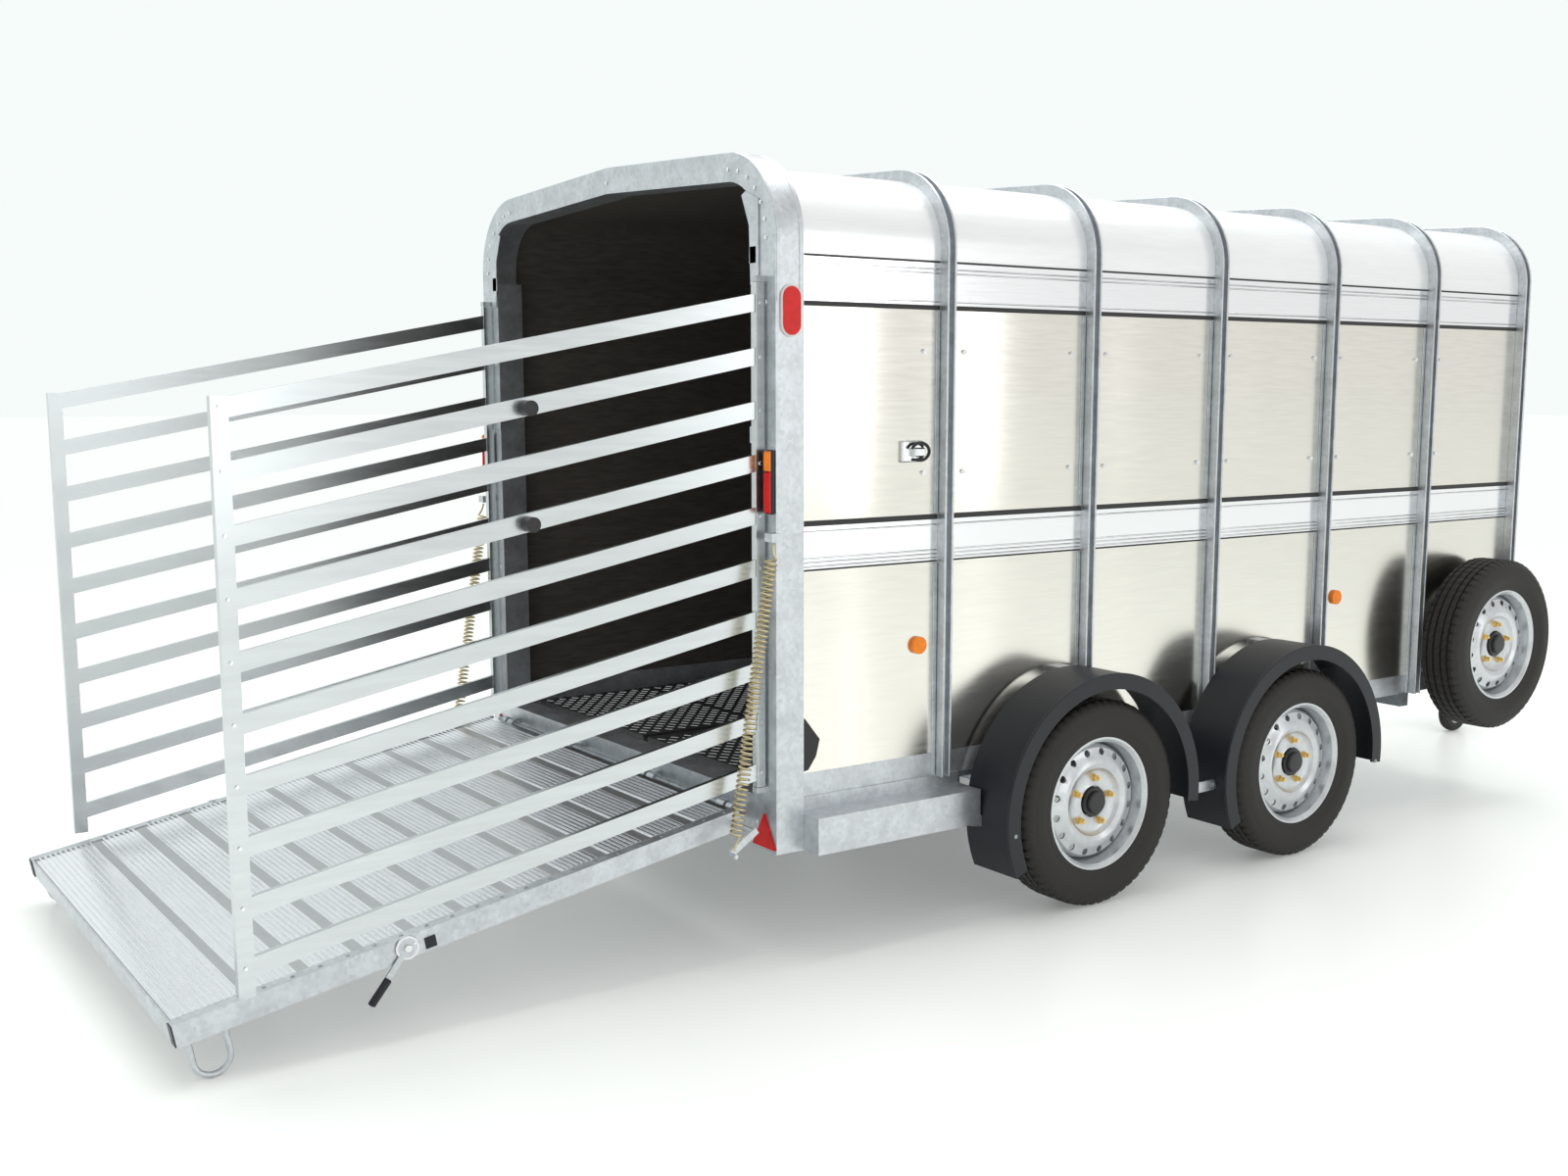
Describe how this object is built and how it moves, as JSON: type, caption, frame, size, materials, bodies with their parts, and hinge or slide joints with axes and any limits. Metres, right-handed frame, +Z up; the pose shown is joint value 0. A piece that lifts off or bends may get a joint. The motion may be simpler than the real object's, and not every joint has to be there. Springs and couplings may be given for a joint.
{
  "type": "livestock trailer",
  "caption": "Twin-axle livestock trailer with hooped sheet body, lowered rear ramp and slatted side gates.",
  "frame": {"origin": "on the ground under the centre of the overall box, ramp lowered", "axes": "+X towards the tow coupling, +Y to the far side, +Z up"},
  "size_m": [6.6554, 2.33, 2.3627],
  "materials": {
    "galvanised": "hot-dip galvanised steel, dull grey with faint spangle",
    "sheet_aluminium": "mill-finish aluminium sheet, brushed",
    "extruded_aluminium": "extruded aluminium, satin",
    "roof_sheet": "pale sheet, satin",
    "mat_rubber": "ribbed rubber mat",
    "black_plastic": "moulded black plastic, satin",
    "spring_steel": "yellow-passivated spring steel",
    "tyre_rubber": "tyre rubber, matte",
    "wheel_paint": "silver wheel paint, satin",
    "lamp_red": "clear red plastic, gloss",
    "lamp_amber": "amber plastic, gloss",
    "buffer_rubber": "black rubber, matte",
    "coupling_paint": "black paint, satin"
  },
  "bodies": {
    "trailer": {"chassis_frame": "galvanised", "drawbar": "galvanised", "coupling_head": "coupling_paint", "floor_deck": "extruded_aluminium", "floor_mats": "mat_rubber", "front_wall": "sheet_aluminium", "roof_skin": "roof_sheet", "lower_panels_near": "sheet_aluminium", "lower_panels_far": "sheet_aluminium", "upper_panels_near": "sheet_aluminium", "upper_panels_far": "sheet_aluminium", "mid_rails": "extruded_aluminium", "eaves_rails": "extruded_aluminium", "sill_rails": "galvanised", "hoop_1": "galvanised", "hoop_2": "galvanised", "hoop_3": "galvanised", "hoop_4": "galvanised", "hoop_5": "galvanised", "hoop_6": "galvanised", "rear_frame": "galvanised", "side_step_near": "galvanised", "side_step_far": "galvanised", "mudguards_near": "black_plastic", "mudguards_far": "black_plastic", "mudguard_stays": "galvanised", "axles": "galvanised", "leaf_springs": "spring_steel", "spare_carrier": "galvanised", "spare_tyre": "tyre_rubber", "spare_rim": "wheel_paint", "tail_lamps": "lamp_red", "red_reflectors": "lamp_red", "amber_markers": "lamp_amber", "panel_bolts": "galvanised", "ramp_hinge_rod": "galvanised", "ramp_spring_near": "spring_steel", "ramp_spring_far": "spring_steel", "jockey_clamp": "galvanised"},
    "ramp": {"ramp_frame": "galvanised", "ramp_deck": "extruded_aluminium"},
    "ramp_lever_near": {"ramp_lever_near": "galvanised"},
    "ramp_lever_far": {"ramp_lever_far": "galvanised"},
    "gate_near": {"gate_posts_near": "extruded_aluminium", "gate_rails_near": "extruded_aluminium", "gate_buffers_near": "buffer_rubber"},
    "gate_far": {"gate_posts_far": "extruded_aluminium", "gate_rails_far": "extruded_aluminium", "gate_buffers_far": "buffer_rubber"},
    "wheel_rear_near": {"tyre_rear_near": "tyre_rubber", "wheel_rear_near": "wheel_paint"},
    "wheel_front_near": {"tyre_front_near": "tyre_rubber", "wheel_front_near": "wheel_paint"},
    "wheel_rear_far": {"tyre_rear_far": "tyre_rubber", "wheel_rear_far": "wheel_paint"},
    "wheel_front_far": {"tyre_front_far": "tyre_rubber", "wheel_front_far": "wheel_paint"},
    "jockey_stem": {"jockey_stem": "galvanised"},
    "jockey_wheel": {"jockey_wheel": "tyre_rubber"},
    "handbrake": {"handbrake_lever": "coupling_paint"}
  },
  "joints": [
    {"name": "ramp_hinge", "type": "hinge", "parent": "trailer", "child": "ramp", "pos_m": [-1.6843, 0, 0.427], "axis": [0, 1, 0], "range_deg": [0, 100], "deforming": ["ramp_spring_near", "ramp_spring_far"]},
    {"name": "ramp_lever_near_turn", "type": "hinge", "parent": "ramp", "child": "ramp_lever_near", "pos_m": [-2.73898, -0.868, 0.23507], "axis": [0, 1, 0], "range_deg": [0, 42]},
    {"name": "ramp_lever_far_turn", "type": "hinge", "parent": "ramp", "child": "ramp_lever_far", "pos_m": [-2.73898, 0.868, 0.23507], "axis": [0, 1, 0], "range_deg": [0, 42]},
    {"name": "gate_near_swing", "type": "hinge", "parent": "trailer", "child": "gate_near", "pos_m": [-1.6723, -0.904, 1], "axis": [0, 0, 1], "range_deg": [0, 18]},
    {"name": "gate_far_swing", "type": "hinge", "parent": "trailer", "child": "gate_far", "pos_m": [-1.6723, 0.904, 1], "axis": [0, 0, -1], "range_deg": [0, 18]},
    {"name": "wheel_rear_near_spin", "type": "hinge", "parent": "trailer", "child": "wheel_rear_near", "pos_m": [-0.5013, -1.06, 0.338], "axis": [0, 1, 0], "continuous": true},
    {"name": "wheel_front_near_spin", "type": "hinge", "parent": "trailer", "child": "wheel_front_near", "pos_m": [0.4937, -1.06, 0.338], "axis": [0, 1, 0], "continuous": true},
    {"name": "wheel_rear_far_spin", "type": "hinge", "parent": "trailer", "child": "wheel_rear_far", "pos_m": [-0.5013, 1.06, 0.338], "axis": [0, 1, 0], "continuous": true},
    {"name": "wheel_front_far_spin", "type": "hinge", "parent": "trailer", "child": "wheel_front_far", "pos_m": [0.4937, 1.06, 0.338], "axis": [0, 1, 0], "continuous": true},
    {"name": "jockey_slide", "type": "slide", "parent": "trailer", "child": "jockey_stem", "axis": [0, 0, 1], "range_m": [0, 0.06]},
    {"name": "jockey_wheel_spin", "type": "hinge", "parent": "jockey_stem", "child": "jockey_wheel", "pos_m": [2.9077, -0.17001, 0.1], "axis": [0, 1, 0], "continuous": true},
    {"name": "handbrake_turn", "type": "hinge", "parent": "trailer", "child": "handbrake", "pos_m": [2.8077, -0.01, 0.495], "axis": [0, -1, 0], "range_deg": [0, 60]}
  ]
}
